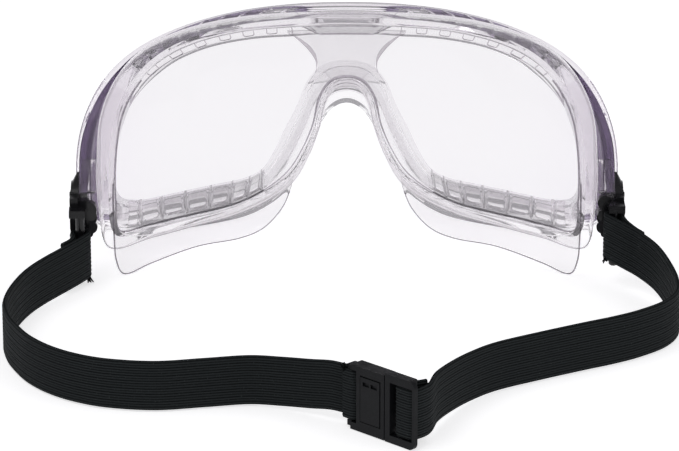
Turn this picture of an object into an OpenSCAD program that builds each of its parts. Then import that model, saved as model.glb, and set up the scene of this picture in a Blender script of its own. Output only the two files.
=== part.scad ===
// Sports protective goggles: a wraparound lens held in a clear soft frame, with an
// elastic headband that swivels on side clips and opens at a rear buckle.
// Millimetres. +Z up, the goggles look towards -Y, the wearer's left is +X.
// The whole part stands on the plane z = 0.

/* [Lens] */
// Radius of the lens cylinder, outer face
lens_radius = 95; // [90:0.5:105]
// Furthest forward point of the lens, outer face
lens_front_y = -55; // [-60:0.5:-45]
// Lens wall
lens_wall = 2; // [1.6:0.1:2.6]

/* [Frame] */
// Wall of the soft frame between the lens rim and the face seal
frame_wall = 2.4; // [1.8:0.1:3.2]
// Depth of the rim that grips the lens, behind the lens's outer face
rim_depth = 6; // [4.5:0.1:8]
// Thickness of the cheek flaps
flap_wall = 1.2; // [0.8:0.1:2]
// Height of the vent ribs
rib_height = 1.4; // [0.8:0.1:2]

/* [Headband] */
// Width of the elastic webbing
strap_width = 15.2; // [12:0.1:20]
// Thickness of the elastic webbing
strap_thick = 1.6; // [1.2:0.1:2.2]
// Radius of the pivot pins
pin_radius = 2; // [1.6:0.05:2.4]

/* [Buckle] */
// Height of the buckle
buckle_height = 20.6; // [18:0.1:24]
// Thickness of the buckle
buckle_thick = 4.8; // [4.4:0.1:6]

/* [Hidden] */
sub = 3;
fit = 0.05;
// play of the lens in its groove, each side
groove_play = 0.1;
pivot = [12, 23];
clear_col = [0.9, 0.89, 0.93, 0.5];
black = [0.1, 0.1, 0.11];
// sets the part back so that the middle of its length is at y = 0
set_y = -58.7;
// height of the pivots above the clips' own drawing
lift = 1;
lens_axis_y = lens_front_y + lens_radius;

// ---- half outlines seen from behind, [x, z], top centre round the side to the nose ----
// outer edge of the lens rim
rim_out = [[0, 71.8], [18, 71.6], [36, 70.6], [54, 68], [69, 63.4], [79, 56.2], [85, 45],
    [87, 31], [85.5, 16], [78, 5.5], [64, 1], [49, 0], [36, 1], [26.5, 5], [20, 11],
    [15.5, 18.5], [12, 25.5], [8.5, 32.3], [4.6, 36.8], [0, 38.4]];
// inner edge of the lens rim, where each eye opening starts
rim_in = [[0, 61.9], [18, 62], [34, 62.1], [50, 60.8], [63, 57], [72.2, 49.5],
    [77.4, 38.5], [79, 27], [78, 17.8], [70.6, 13], [59, 12.1], [46, 12.3], [35.5, 13.1],
    [29, 16], [24.6, 22.5], [21, 30], [17, 37.8], [13.6, 45.6], [7.8, 51.2], [0, 52.6]];
// inner edge of the wall where it meets the face seal
face_in = [[0, 75.5], [17, 75.5], [34, 75.2], [49, 73.2], [60, 69], [67.5, 62],
    [72, 52.5], [74, 39], [74.3, 25], [73, 14.5], [62, 15], [48, 16.3], [36, 18.2],
    [27, 22], [19.5, 27.5], [14.5, 35], [11, 43], [9, 51.4], [5.4, 56.9], [0, 58.5]];
// outer edge of the face seal
seal_out = [[0, 80.3], [18, 80.5], [37, 80.3], [53, 78.5], [65, 74.5], [73, 67],
    [78, 56], [79.6, 41], [79.6, 25], [76.5, 9.5], [63, 10.3], [50, 12], [37, 14],
    [26, 17.8], [17.4, 24.2], [12.4, 32.5], [8.9, 41.5], [6.7, 50], [4, 54],
    [0, 55.3]];

// ---- curves ----
module set_back() translate([0, set_y, 0]) children();
function mirrored(h) = concat(h, [for (i = [len(h) - 2:-1:1]) [-h[i][0], h[i][1]]]);
function cr(a, b, c, d, t) = 0.5 * (2 * b + (c - a) * t + (2 * a - 5 * b + 4 * c - d) * t * t
    + (3 * b - a - 3 * c + d) * t * t * t);
function wrap(i, k) = ((i % k) + k) % k;
// point of a closed outline at t, counted in control points from the top centre
function at(h, t) = let (p = mirrored(h), k = len(p), i = floor(t))
    cr(p[wrap(i - 1, k)], p[wrap(i, k)], p[wrap(i + 1, k)], p[wrap(i + 2, k)], t - i);
function mix(a, b, f) = a * (1 - f) + b * f;
stations = [for (i = [0:2 * (len(rim_out) - 1) * sub - 1]) i / sub];
// point at depth d behind the lens's outer face
function on_lens(p, d) = let (s = (lens_radius - d) / lens_radius)
    [p[0] * s, lens_axis_y - (lens_radius - d) * sqrt(1 - pow(p[0] / lens_radius, 2)), p[1]];
// the face's own curve: flatter over the cheeks than over the brow
function face_y(p) = let (f = max(0, min(1, (p[1] - 15) / 50)), x2 = p[0] * p[0])
    mix(-6 + x2 / 235, -10 + x2 / 172, f * f * (3 - 2 * f));
function on_face(p, d) = [p[0], face_y(p) + d, p[1]];

// ---- solids ----
// rows: profile points, each a closed line of 3-D points
function ring_faces(m, n) = [for (j = [0:m - 1], i = [0:n - 1])
    let (a = j * n + i, b = j * n + (i + 1) % n, c = ((j + 1) % m) * n + (i + 1) % n,
        d = ((j + 1) % m) * n + i) each [[a, b, c], [a, c, d]]];
module ring(rows) {
    polyhedron(points = [for (r = rows) each r], faces = ring_faces(len(rows), len(rows[0])));
}
// rows: profile points, each an open line of 3-D points; both ends are closed flat
function bar_faces(m, n) = concat(
    [for (j = [0:m - 1], i = [0:n - 2])
        let (a = j * n + i, b = j * n + i + 1, c = ((j + 1) % m) * n + i + 1,
            d = ((j + 1) % m) * n + i) each [[a, b, c], [a, c, d]]],
    [for (j = [1:m - 2]) [0, j * n, (j + 1) * n]],
    [for (j = [1:m - 2]) [n - 1, (j + 1) * n + n - 1, j * n + n - 1]]);
module bar(rows) {
    polyhedron(points = [for (r = rows) each r], faces = bar_faces(len(rows), len(rows[0])));
}
// a: grid of 3-D points [line][point] for one skin, b: the same grid for the other
function slab_faces(m, n) = let (o = m * n) concat(
    [for (i = [0:m - 2], j = [0:n - 2])
        let (a = i * n + j, b = a + 1, c = a + n + 1, d = a + n)
        each [[a, b, c], [a, c, d], [o + a, o + c, o + b], [o + a, o + d, o + c]]],
    [for (i = [0:m - 2])
        let (a = i * n, d = a + n, b = a + n - 1, c = d + n - 1)
        each [[a, d, o + d], [a, o + d, o + a], [b, o + c, c], [b, o + b, o + c]]],
    [for (j = [0:n - 2])
        let (a = j, b = j + 1, c = (m - 1) * n + j, d = c + 1)
        each [[a, o + b, b], [a, o + a, o + b], [c, d, o + d], [c, o + d, o + c]]]);
module slab(a, b) {
    polyhedron(points = concat([for (r = a) each r], [for (r = b) each r]),
        faces = slab_faces(len(a), len(a[0])));
}
// open Catmull-Rom curve of points with any number of coordinates
function open_at(p, t) = let (k = len(p) - 1, i = max(0, min(k - 1, floor(t))))
    cr(i > 0 ? p[i - 1] : 2 * p[0] - p[1], p[i], p[i + 1],
        i + 2 <= k ? p[i + 2] : 2 * p[k] - p[k - 1], t - i);
function spread(a, b, n) = [for (i = [0:n]) a + (b - a) * i / n];
function unit(v) = v / norm(v);

// ---- lens ----
// the lens edge sits in the rim's groove, a little short of its bottom
function lens_edge(t) = mix(at(rim_out, t), at(rim_in, t), 0.27);
lens_lines = [for (i = [-26:26]) let (f = abs(i) / 26 * 0.988, s = i < 0 ? -1 : 1)
    [s * 6.94 * f / 0.988, s * (19 - 12 * f)]];
function lens_line(i, d) = let (a = lens_edge(lens_lines[i][0]), b = lens_edge(lens_lines[i][1]))
    [for (f = spread(0, 1, 7)) on_lens(mix(a, b, f), d)];
module lens() color([0.93, 0.92, 0.97, 0.35]) set_back() {
    n = len(lens_lines) - 1;
    slab([for (i = [0:n]) lens_line(i, lens_wall)], [for (i = [0:n]) lens_line(i, 0)]);
}

// ---- frame ----
function rim_pt(t, f) = mix(at(rim_out, t), at(rim_in, t), f);
// how far the wall steps outwards behind the lens rim at station t, so that a lip faces the eyes at the brow
brow_lip = 4.3;
last_t = 2 * (len(rim_out) - 1);
function ramp(t, a, b) = max(0, min(1, (t - a) / (b - a)));
function lip(t) = let (u = min(wrap(t, last_t), last_t - wrap(t, last_t)))
    brow_lip * ramp(u, 0.5, 1.1) * (1 - ramp(u, 4.2, 5.4));
// f runs from 0 at the lens rim to 1 at the face seal; off is measured outwards
function wall_front(t, off) = let (o = at(rim_out, t), i = at(rim_in, t))
    on_lens(i + (off + lip(t)) * unit(o - i), 4.2);
function wall_rear(t, off) = let (o = at(seal_out, t), i = at(face_in, t))
    on_face(i + off * unit(o - i), -3);
function wall(t, f, off) = mix(wall_front(t, off), wall_rear(t, off), f);
function frame_row(j, t) =
    j == 0 ? on_lens(rim_pt(t, 0.05), -1.3) :
    j == 1 ? on_lens(rim_pt(t, 0.42), -1.3) :
    j == 2 ? on_lens(rim_pt(t, 0.48), -0.7) :
    j == 3 ? on_lens(rim_pt(t, 0.48), -groove_play) :
    j == 4 ? on_lens(rim_pt(t, 0.22), -groove_play) :
    j == 5 ? on_lens(rim_pt(t, 0.22), lens_wall + groove_play) :
    j == 6 ? on_lens(rim_pt(t, 1), lens_wall + groove_play) :
    j == 7 ? on_lens(rim_pt(t, 1), 3.8) :
    j == 8 ? wall(t, 0, 0) :
    j == 9 ? wall(t, 0.5, 0) :
    j == 10 ? wall(t, 1, 0) :
    j == 11 ? wall(t, 1, frame_wall) :
    j == 12 ? wall(t, 0.5, frame_wall) :
    j == 13 ? wall(t, 0.08, frame_wall + 0.4) :
    j == 14 ? on_lens(rim_pt(t, 0.3 - 0.025 * lip(t)), rim_depth - 1) :
    j == 15 ? on_lens(rim_pt(t, 0.02), rim_depth) :
    on_lens(rim_pt(t, 0), 0);
module frame_body() color(clear_col) set_back() {
    ring([for (j = [0:16]) [for (t = stations) frame_row(j, t)]]);
}

// soft seal that rests on the brow, temples, cheeks and nose
function seal_row(j, t) = let (i = at(face_in, t), o = at(seal_out, t), w = norm(o - i), u = (o - i) / w)
    j == 0 ? on_face(i, -3 + fit) :
    j == 1 ? on_face(i, -1.2) :
    j == 2 ? on_face(i + 0.25 * u, -0.3) :
    j == 3 ? on_face(i + 0.3 * w * u, 0.35) :
    j == 4 ? on_face(i + 0.7 * w * u, 0.35) :
    j == 5 ? on_face(i + 0.95 * w * u, -0.4) :
    j == 6 ? on_face(o, -1.3) :
    j == 7 ? on_face(i + 0.9 * w * u, -2.2) :
    on_face(i + frame_wall * u, -3 + fit);
module face_seal() color(clear_col) set_back() {
    ring([for (j = [0:8]) [for (t = stations) seal_row(j, t)]]);
}

// thin flap that hangs from the seal over one cheek
flap_root = [[74.2, 33], [74.3, 27], [74, 20], [72.6, 14], [67, 11.8], [59, 12],
    [48, 13.6], [37, 15.6], [28, 19], [21, 23], [17.5, 26.5]];
flap_edge = [[74.7, 33], [74.9, 25], [74.8, 14], [74.2, 5], [71.4, 0.1], [63, 2.3],
    [48.7, 5.6], [35.5, 6.7], [27.3, 9.6], [21.2, 16], [18, 23.2]];
function flap_pt(t, f, d) = let (p = mix(open_at(flap_root, t), open_at(flap_edge, t), f))
    on_face(p, -1.3 + 1.3 * f + d);
module cheek_flap() color(clear_col) set_back() {
    slab([for (t = spread(0, 10, 40)) [for (f = spread(0, 1, 5)) flap_pt(t, f, 0)]],
        [for (t = spread(0, 10, 40)) [for (f = spread(0, 1, 5)) flap_pt(t, f, flap_wall * (1 - 0.35 * f))]]);
}
module cheek_flap_left() cheek_flap();
module cheek_flap_right() mirror([1, 0, 0]) cheek_flap();

// centre panel behind the lens that joins the brow to the nose arch
panel_side = [[20.5, 63.4], [16.8, 61], [12.6, 57.6], [10.2, 53.6], [9.9, 50], [11.2, 46.8], [12.8, 44.4]];
function panel_pt(i, x, d) = let (p = open_at(panel_side, i)) on_lens([p[0] * x, p[1]], d);
module bridge_panel() color(clear_col) set_back() {
    lines = spread(0, 6, 18);
    slab([for (i = lines) [for (x = spread(-1, 1, 12)) panel_pt(i, x, lens_wall + 0.1)]],
        [for (i = lines) [for (x = spread(-1, 1, 12)) panel_pt(i, x, 4.4)]]);
}

// raised tab with a turned-up end each side, under the brow
tab_line = [[-14, 66.6], [-12, 65], [-9.5, 63.6], [0, 63.4], [9.5, 63.6], [12, 65], [14, 66.6]];
function tab_pt(t, h, d) = let (p = open_at(tab_line, t)) on_lens([p[0], p[1] + h], d);
module brow_tab() color(clear_col) set_back() {
    lines = spread(0, 6, 24);
    slab([for (t = lines) [tab_pt(t, 0, 5.2), tab_pt(t, 1.6, 5.2)]],
        [for (t = lines) [tab_pt(t, 0, 7.6), tab_pt(t, 1.6, 7.6)]]);
}

// ---- vent ribs: one comb-shaped strip each, between t0 and t1 ----
// steps along the strip as [t, is it a rib]
function comb(t0, t1, n, w) = let (p = (t1 - t0) / n) concat([[t0, 0]],
    [for (k = [0:n]) let (c = t0 + p * k, a = max(t0, c - w), b = min(t1, c + w))
        each [[a + (k == 0 ? 0.01 : 0), 0], [a + 0.02, 1], [b - 0.02, 1], [b - (k == n ? 0.01 : 0), 0]]],
    [[t1, 0]]);
// ribs that run back from the lens rim along the inside of the wall; the further a rib is
// from the station straight, the more its rear end moves along, so that all stay parallel
module inner_ladder(t0, t1, n, f0, f1, base, high, straight, lean) color(clear_col) set_back() {
    c = comb(t0, t1, n, 0.07);
    bar([[for (s = c) wall(s[0] + f0 * lean * (straight - s[0]), f0, 0)],
        [for (s = c) wall(s[0] + f0 * lean * (straight - s[0]), f0, s[1] ? -high : -base)],
        [for (s = c) wall(s[0] + f1 * lean * (straight - s[0]), f1, s[1] ? -high * 0.6 : -base)],
        [for (s = c) wall(s[0] + f1 * lean * (straight - s[0]), f1, 0)]]);
}
// slanting ribs that stand in the trough outside the brow, behind the lens rim
function rim_w(t) = norm(at(rim_out, t) - at(rim_in, t));
module outer_ladder(t0, t1, n) color(clear_col) set_back() {
    c = comb(t0, t1, n, 0.06);
    slant = 0.2;
    bar([[for (s = c) wall(s[0], 0.1, frame_wall + 0.5)],
        [for (s = c) wall(s[0] + slant, 0.4, frame_wall)],
        [for (s = c) wall(s[0] + slant, 0.4, frame_wall + (s[1] ? 1.9 : 0.6))],
        [for (s = c) wall(s[0] + 0.02, 0.13,
            s[1] ? 0.95 * rim_w(s[0]) - 0.87 * lip(s[0]) : frame_wall + 0.9)]]);
}
module top_vent_left() outer_ladder(0.95, 4.25, 9);
module top_vent_right() mirror([1, 0, 0]) outer_ladder(0.95, 4.25, 9);
// square pads on the lip at the brow, one at each station of brow_pads
brow_pads = [1.5, 2, 2.48, 3, 3.58, 4.25];
function lip_pt(t, e, d) = let (o = at(rim_out, t), i = at(rim_in, t))
    on_lens(i + (e < 0.5 ? 0.15 : max(0.6, lip(t) - 0.2)) * unit(o - i), d);
module brow_ladder() color(clear_col) set_back() {
    c = concat([[1.08, 0]], [for (t = brow_pads) let (w = t > 3 ? 0.14 : 0.11)
        each [[t - w - 0.02, 0], [t - w, 1], [t + w, 1], [t + w + 0.02, 0]]], [[4.5, 0]]);
    bar([[for (s = c) lip_pt(s[0], 0, 3.6)],
        [for (s = c) lip_pt(s[0], 0, s[1] ? 4 + rib_height : 4.3)],
        [for (s = c) lip_pt(s[0], 1, s[1] ? 4.2 + rib_height : 4.5)],
        [for (s = c) lip_pt(s[0], 1, 3.9)]]);
}
module brow_ladder_left() brow_ladder();
module brow_ladder_right() mirror([1, 0, 0]) brow_ladder();
module floor_ladder() inner_ladder(8.85, 12.85, 6, 0.03, 0.94, 0.3, rib_height, 12.85, 0.2);
module floor_ladder_left() floor_ladder();
module floor_ladder_right() mirror([1, 0, 0]) floor_ladder();

// ---- side clips, drawn for the left side ----
module box(x, y, z) translate([x[0], y[0], z[0]]) cube([x[1] - x[0], y[1] - y[0], z[1] - z[0]]);
// round bar along X through a point of the side view
module across(x, yz, r) translate([x[0], yz[0], yz[1]]) rotate([0, 90, 0])
    cylinder(r = r, h = x[1] - x[0], $fn = 48);
lug_x = [83.2, 85.6];
plate_x = [86, 88.6];

prong = [85.2, 24.6];
prong_r = 1.5;
module temple_lug() color(clear_col) set_back() translate([0, 0, lift]) difference() {
    union() {
        across(lug_x, pivot, 5.4);
        box(lug_x, [1.5, pivot[0]], [pivot[1] - 5.4, pivot[1] + 5.4]);
        across([81.5, 85.6], [3.4, 28], 5.6);
    }
    across([80, 90], pivot, pin_radius + fit);
    box([80, 83.2], [5.6, 20], [10, 40]);
}
module temple_lug_left() temple_lug();
module temple_lug_right() mirror([1, 0, 0]) temple_lug();
// round knob with its axis along the headband's side
module knob(x, z, r) translate([x, 21.2, z]) rotate([90, 0, 0]) cylinder(r = r, h = 3, $fn = 40);
// side plate on its pivot, ending at y = tail, with a post down to height low that the webbing loops
// round, hung from an arm that stands up higher than the plain one
module strap_clip(low, tail, up) color(black) set_back() {
    translate([0, 0, lift]) difference() {
        union() {
            across(plate_x, pivot, 6.1);
            hull() {
                across([plate_x[0], plate_x[0] + 0.7], [pivot[0], pivot[1] + 7.4], 1.8);
                across(plate_x, [pivot[0], pivot[1] + 1], 4.6);
            }
            box(plate_x, [pivot[0], tail], [16.2, 26.5]);
            box([82.6, 88.6], [18.2, 21.2], [16.2, 25.5]);
            box(plate_x, [14, 21.1], [11.4, 17]);
            knob(82.45, 22.4 + 1.3 * up, 2.35);
            knob(82, 20.4, 1.9);
            box([83.4, 88.6], [20.4, 26.8], [21.2 + up, 23.6 + up]);
            across([88.2, 88.9], [20.4, 21.6], 1.4);
            across([88.2, 88.9], [17, 26.2], 0.9);
        }
        across([80, 90], pivot, pin_radius);
        box([88.1, 90], [14.2, 16.2], [18.6, 21.8]);
    }
    translate([prong[0], prong[1], low + 0.5]) cylinder(r = prong_r, h = 22.6 + up - low, $fn = 40);
    translate([prong[0], prong[1], low]) cylinder(r1 = 1.1, r2 = prong_r, h = 0.5, $fn = 40);
}
module strap_clip_left() strap_clip(2.1, 22.6, 0);
module strap_clip_right() mirror([1, 0, 0]) strap_clip(6, 21.2, 1.7);
// pin with a flat head outside, its inner end flush in the lug
module pivot_pin() color(black) set_back() translate([0, 0, lift]) {
    across([83.3, 89], pivot, pin_radius - 0.001);
    across([88.62, 89], pivot, 3);
}
module pivot_pin_left() pivot_pin();
module pivot_pin_right() mirror([1, 0, 0]) pivot_pin();
// finger paddle that frees the clip from its pin
module clip_paddle() color([0.16, 0.16, 0.17]) set_back() translate([0, 0, lift]) {
    box([82.1, 84.4], [17.75, 18.15], [12.6, 21.6]);
    for (q = [[82.2, 15.4, 2.1], [82.2, 18.6, 2.1], [82.6, 13.2, 1.1]])
        translate([q[0], 18.15, q[1]]) rotate([90, 0, 0]) cylinder(r = q[2], h = 1.1, $fn = 40);
}
module clip_paddle_left() clip_paddle();
module clip_paddle_right() mirror([1, 0, 0]) clip_paddle();

// ---- headband ----
// the buckle lies at an angle; its own frame has +X towards the tongue, -Y outside
buckle_at = [-12.1, 163.5];
buckle_yaw = 134.8;
function from_buckle(p) = [buckle_at[0] + p[0] * cos(buckle_yaw) - p[1] * sin(buckle_yaw),
    buckle_at[1] + p[0] * sin(buckle_yaw) + p[1] * cos(buckle_yaw), p[2]];
module at_buckle() translate([buckle_at[0], buckle_at[1], 0]) rotate([0, 0, buckle_yaw]) children();
buckle_z = (buckle_height - strap_width) / 2;
tongue_end = 11.8;

// path of the middle of the webbing, [x, y, height of its lower edge], from a short tail outside
// the clip's post, round the post and back to the buckle
left_path = concat([[90.2, 35.4, 1.6], [88, 32, 1.8], [87.2, 28.6, 1.9], [87.75, 25.4, 1.95],
    [87.3, 23.1, 1.95], [85.2, 22.05, 1.95], [83.1, 23.1, 1.95], [82.7, 25.4, 1.95], [84.3, 29.3, 1.9],
    [87.6, 35.2, 1.6], [91.6, 41.6, 1.2], [95.2, 47.8, 0.9], [98.6, 54.8, 0.6], [101.4, 63.5, 0.4],
    [103.7, 76, 0.3], [104.2, 88, 0.3], [102.4, 99, 0.3], [99.4, 108, 0.3], [94.8, 118, 0.3],
    [88.2, 127, 0.3], [80, 134, 0.3], [70, 138.8, 0.3], [56, 140.9, 0.3], [42, 138.4, 0.3],
    [29, 136.2, 0.4], [19, 139, 0.9], [11, 143, 1.7]],
    [for (p = [[-24, -0.4], [-19.5, 0.7], [-15.2, 1.6], [-13.2, 1.35], [-12.5, 0], [-13.2, -1.4],
        [-15, -1.7], [-17, -1.6]]) from_buckle([p[0], p[1], buckle_z])]);
right_path = concat([[-94, 32.4, 4.4], [-91.5, 30.3, 5.4], [-88.8, 27.8, 7], [-87.75, 25.4, 8],
    [-87.3, 23.1, 8.3], [-85.2, 22.05, 8.3], [-83.1, 23.1, 8.3], [-82.7, 25.4, 8.3],
    [-84.6, 28.2, 8], [-88.6, 31.5, 6.7], [-93, 35, 5.1], [-97.4, 42.2, 3.5], [-100.2, 53, 2.2],
    [-101.8, 66, 1.1], [-101.2, 77.5, 0.6], [-96.6, 87.2, 0.4], [-88.4, 95.8, 0.4],
    [-80, 101.9, 0.4], [-71, 107.2, 0.4], [-57.5, 115.6, 0.4], [-44, 125, 0.5], [-36, 134.5, 0.9],
    [-30, 145, 1.6], [-25.6, 155.4, 2.3]],
    [for (p = [[8.8, 7.5], [10.2, 3.8], [10.3, 0.4], [9.6, -1.25], [7.1, -1.45], [4.6, -1.25],
        [3.9, 0.4], [4.5, 4], [4.5, 7.5], [4, 11]]) from_buckle([p[0], p[1], buckle_z])]);
// the webbing stands on edge along its path
function side(p, t) = let (d = open_at(p, t + 0.05) - open_at(p, t - 0.05)) unit([d[1], -d[0]]);
function web_pt(p, t, o, z) = let (c = open_at(p, t), s = side(p, t))
    [c[0] + s[0] * o, c[1] + s[1] * o, c[2] + z];
module webbing(path) color(black) set_back() {
    h = strap_thick / 2;
    profile = [[-h, 0.3], [-h, strap_width - 0.3], [0.3 - h, strap_width], [h - 0.3, strap_width],
        [h, strap_width - 0.3], [h, 0.3], [h - 0.3, 0], [0.3 - h, 0]];
    last = len(path) - 1;
    bar([for (q = profile) [for (t = spread(0, last, last * 3)) web_pt(path, t, q[0], q[1])]]);
}
module strap_left() webbing(left_path);
module strap_right() webbing(right_path);

// ---- rear buckle ----
half = buckle_thick / 2;
web_z = [buckle_z - 0.4, buckle_height - buckle_z + 0.4];
module upright(x, y, r, z) translate([x, y, z[0]]) cylinder(r = r, h = z[1] - z[0], $fn = 32);
module buckle_socket() color(black) set_back() at_buckle() difference() {
    union() {
        box([-13.8, -0.2], [-half, half], [0.1, buckle_height - 0.7]);
        // rails out to the bar that the webbing turns round
        box([-15.8, -13], [-1.6, 1.6], [0.6, buckle_height - 1.2]);
    }
    // room for the webbing in front of, round and behind the bar
    difference() {
        box([-18, -11.4], [-5, 5], web_z);
        box([-15.4, -13.8], [-0.55, 0.55], [0, buckle_height]);
    }
    // slot for the tongue's prongs
    box([-6.1, 0], [-1.1, 1.1], [4.7, 15.9]);
    // recess for the latch panel, and the window behind its button
    box([-9.9, -1.6], [-4, -1.65], [3.2, 17.4]);
    box([-3.4, -2.2], [-3, -1], [7, 13.6]);
}
module buckle_panel() color([0.13, 0.13, 0.14]) set_back() at_buckle() difference() {
    union() {
        box([-9.6, -1.9], [-half - 0.15, -1.7], [3.5, 17.1]);
        box([-3.1, -2.5], [-1.9, -1.2], [7.4, 13.2]);
    }
    box([-8.6, -6.1], [-5, 0.4 - half], [14.6, 15.8]);
    box([-5.4, -2.9], [-5, 0.4 - half], [14.6, 15.8]);
}
module buckle_tongue() color(black) set_back() at_buckle() {
    difference() {
        union() {
            box([0.15, tongue_end - 2], [-half, 0.9], [0, buckle_height]);
            box([tongue_end - 3, tongue_end], [-half, -0.9], [2, buckle_height - 2]);
            for (z = [2, buckle_height - 2]) translate([tongue_end - 2, -half, z]) rotate([-90, 0, 0])
                cylinder(r = 2, h = half - 0.9, $fn = 32);
        }
        box([2.1, tongue_end - 0.9], [-5, 5], web_z);
    }
    // flat bar that the webbing turns over
    box([5.1, 8.9], [-0.45, 0.75], [1, buckle_height - 1]);
    // two prongs joined by the catch
    box([-5.6, 0.6], [-0.8, 0.8], [5.2, 8]);
    box([-5.6, 0.6], [-0.8, 0.8], [12.6, 15.4]);
    box([-5.6, -3.6], [-0.8, 0.8], [7.5, 13]);
}

lens();
frame_body();
bridge_panel();
brow_tab();
face_seal();
cheek_flap_left();
cheek_flap_right();
top_vent_left();
top_vent_right();
brow_ladder_left();
brow_ladder_right();
floor_ladder_left();
floor_ladder_right();
temple_lug_left();
temple_lug_right();
strap_clip_left();
strap_clip_right();
pivot_pin_left();
pivot_pin_right();
clip_paddle_left();
clip_paddle_right();
strap_left();
strap_right();
buckle_socket();
buckle_panel();
buckle_tongue();
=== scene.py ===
# Looks for the goggles: clear lens, clear soft frame and seal, black clips, webbing and buckle.
# Lengths are in millimetres until row_point() turns them into the frame's metres. Left and right are the wearer's:
# +X is left, -Y is the way the goggles look, +Z is up.
import math
import random
import bpy
import bmesh
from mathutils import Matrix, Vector


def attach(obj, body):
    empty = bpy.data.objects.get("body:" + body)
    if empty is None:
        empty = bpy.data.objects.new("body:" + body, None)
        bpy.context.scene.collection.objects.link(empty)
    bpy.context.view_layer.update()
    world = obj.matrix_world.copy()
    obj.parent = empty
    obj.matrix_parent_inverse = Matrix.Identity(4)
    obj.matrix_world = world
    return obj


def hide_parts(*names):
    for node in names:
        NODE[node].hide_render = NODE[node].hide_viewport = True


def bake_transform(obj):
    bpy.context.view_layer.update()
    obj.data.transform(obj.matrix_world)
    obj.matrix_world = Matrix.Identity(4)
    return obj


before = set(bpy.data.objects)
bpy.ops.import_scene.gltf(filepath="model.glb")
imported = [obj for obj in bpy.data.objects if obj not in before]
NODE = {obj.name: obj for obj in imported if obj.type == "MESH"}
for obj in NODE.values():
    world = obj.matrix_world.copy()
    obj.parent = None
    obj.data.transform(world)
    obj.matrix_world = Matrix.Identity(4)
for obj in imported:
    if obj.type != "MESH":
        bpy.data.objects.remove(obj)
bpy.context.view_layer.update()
MM = 0.001
SET_Y = -58.7  # from the drawing's origin to the frame's, along Y

# ---------------------------------------------------------------- curves
# The lens is a piece of an upright cylinder. Each outline below is the left half of a closed line, as (x, z) from
# the top centre to the bottom centre, and the other half is its mirror image.
LENS_R, LENS_Y, LENS_T = 95.0, 40.0, 2.0
RIM_OUT = [(0, 71.8), (18, 71.6), (36, 70.6), (54, 68), (69, 63.4), (79, 56.2), (85, 45),
           (87, 31), (85.5, 16), (78, 5.5), (64, 1), (49, 0), (36, 1), (26.5, 5), (20, 11),
           (15.5, 18.5), (12, 25.5), (8.5, 32.3), (4.6, 36.8), (0, 38.4)]
RIM_IN = [(0, 61.9), (18, 62), (34, 62.1), (50, 60.8), (63, 57), (72.2, 49.5), (77.4, 38.5),
          (79, 27), (78, 17.8), (70.6, 13), (59, 12.1), (46, 12.3), (35.5, 13.1), (29, 16),
          (24.6, 22.5), (21, 30), (17, 37.8), (13.6, 45.6), (7.8, 51.2), (0, 52.6)]
FACE_IN = [(0, 75.5), (17, 75.5), (34, 75.2), (49, 73.2), (60, 69), (67.5, 62), (72, 52.5),
           (74, 39), (74.3, 25), (73, 14.5), (62, 15), (48, 16.3), (36, 18.2), (27, 22),
           (19.5, 27.5), (14.5, 35), (11, 43), (9, 51.4), (5.4, 56.9), (0, 58.5)]
SEAL_OUT = [(0, 80.3), (18, 80.5), (37, 80.3), (53, 78.5), (65, 74.5), (73, 67), (78, 56),
            (79.6, 41), (79.6, 25), (76.5, 9.5), (63, 10.3), (50, 12), (37, 14), (26, 17.8),
            (17.4, 24.2), (12.4, 32.5), (8.9, 41.5), (6.7, 50), (4, 54), (0, 55.3)]
TURN = 2 * (len(RIM_OUT) - 1)  # control points in a whole outline, so the bottom centre is at TURN / 2
STATIONS = [i / 8 for i in range(TURN * 8)]
LIP = 4.3  # the most that the wall steps outwards at the brow
WALL_T = 2.4
FIT = 0.05  # clearance round the lens


def cr(a, b, c, d, t):
    """Catmull-Rom curve from b to c."""
    return 0.5 * (2 * b + (c - a) * t + (2 * a - 5 * b + 4 * c - d) * t * t
                  + (3 * b - a - 3 * c + d) * t ** 3)


def loop_of(half):
    return [Vector(p) for p in half] + [Vector((-p[0], p[1])) for p in half[-2:0:-1]]


LOOPS = {id(h): loop_of(h) for h in (RIM_OUT, RIM_IN, FACE_IN, SEAL_OUT)}


def at(half, t):
    """Point of a closed outline, t in control points from the top centre."""
    p = LOOPS[id(half)]
    k, i = len(p), math.floor(t)
    return cr(p[(i - 1) % k], p[i % k], p[(i + 1) % k], p[(i + 2) % k], t - i)


def open_at(p, t):
    """Point of an open line, t in control points from its start."""
    k = len(p) - 1
    i = max(0, min(k - 1, math.floor(t)))
    a = p[i - 1] if i > 0 else 2 * p[0] - p[1]
    d = p[i + 2] if i + 2 <= k else 2 * p[k] - p[k - 1]
    return cr(a, p[i], p[i + 1], d, t - i)


def spread(a, b, n):
    """From a to b in n even steps."""
    return [a + (b - a) * i / n for i in range(n + 1)]


def ramp(t, a, b):
    """0 up to a, 1 from b on."""
    return max(0, min(1, (t - a) / (b - a)))


def from_top(t):
    """Control points from the top centre, the same on both sides."""
    return min(t % TURN, TURN - t % TURN)


def row_point(x, y, z):
    """Point of the drawing in the frame's metres."""
    return Vector((x, y + SET_Y, z)) * MM


def on_lens(p, d):
    """Outline point p put d behind the lens's outer face."""
    s = (LENS_R - d) / LENS_R
    return row_point(p[0] * s, LENS_Y - (LENS_R - d) * math.sqrt(1 - (p[0] / LENS_R) ** 2), p[1])


def face_y(p):
    """Depth of the face side: one curve at the cheeks, a flatter one at the brow."""
    f = max(0, min(1, (p[1] - 15) / 50))
    s = f * f * (3 - 2 * f)
    return (-6 + p[0] ** 2 / 235) * (1 - s) + (-10 + p[0] ** 2 / 172) * s


def on_face(p, d):
    """Outline point p put d behind the face side."""
    return row_point(p[0], face_y(p) + d, p[1])


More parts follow.
